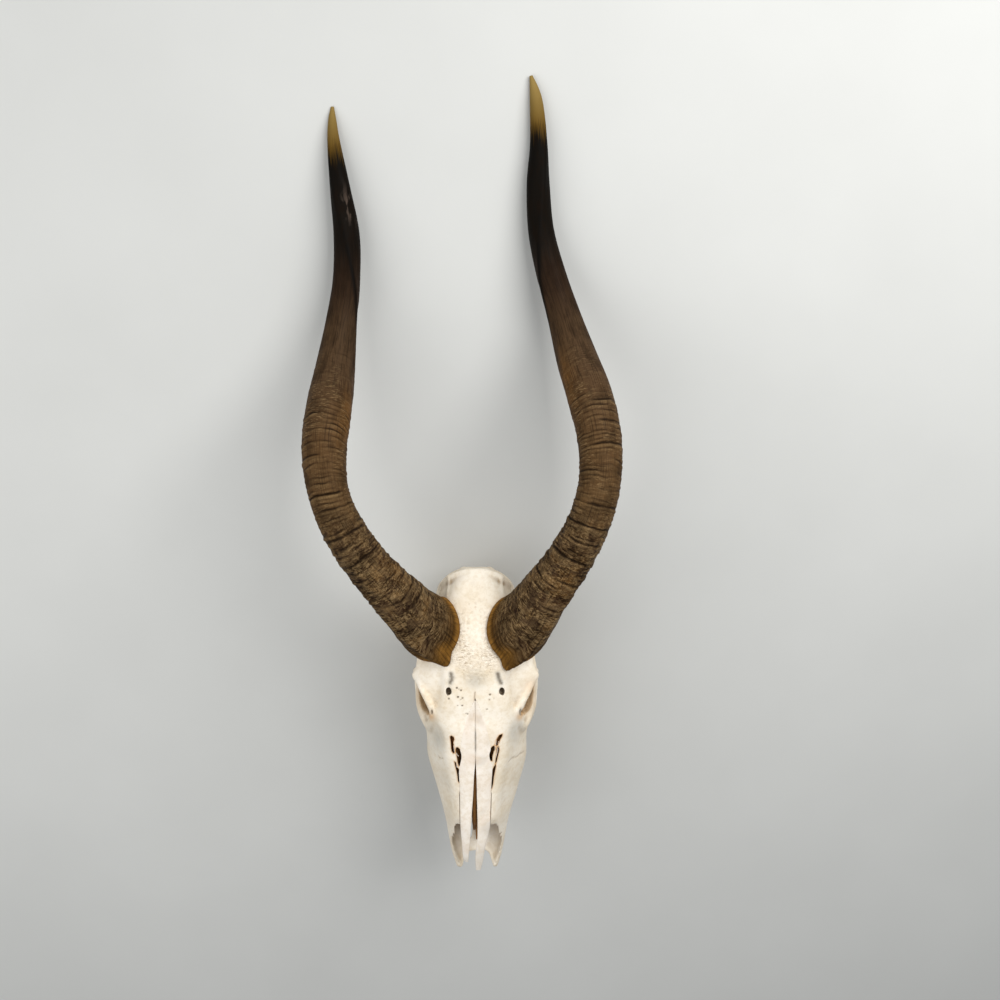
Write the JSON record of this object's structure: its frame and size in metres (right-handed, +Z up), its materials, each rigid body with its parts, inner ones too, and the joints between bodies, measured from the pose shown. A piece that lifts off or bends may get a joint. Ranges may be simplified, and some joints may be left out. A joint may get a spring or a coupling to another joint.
{
  "type": "horned antelope skull",
  "caption": "Long-nosed antelope skull with two spiral horns, cheek teeth and split nasal bones, laid on a flat surface.",
  "frame": {"origin": "centre of the footprint, on the surface the skull lies on", "axes": "+Y from the nose towards the horn tips, +X to the animal's left, +Z up"},
  "size_m": [0.2798, 0.7534, 0.1548],
  "materials": {
    "bone": "matte",
    "nasal_bone": "matte",
    "horn_keratin": "satin",
    "tooth_enamel": "satin"
  },
  "bodies": {
    "root": {"cranium": "bone", "premaxilla_left": "bone", "premaxilla_right": "bone", "nasal_bone_left": "nasal_bone", "nasal_bone_right": "nasal_bone", "horn_left": "horn_keratin", "horn_right": "horn_keratin", "tooth_left_1": "tooth_enamel", "tooth_left_2": "tooth_enamel", "tooth_left_3": "tooth_enamel", "tooth_left_4": "tooth_enamel", "tooth_left_5": "tooth_enamel", "tooth_left_6": "tooth_enamel", "tooth_right_1": "tooth_enamel", "tooth_right_2": "tooth_enamel", "tooth_right_3": "tooth_enamel", "tooth_right_4": "tooth_enamel", "tooth_right_5": "tooth_enamel", "tooth_right_6": "tooth_enamel"}
  },
  "joints": []
}
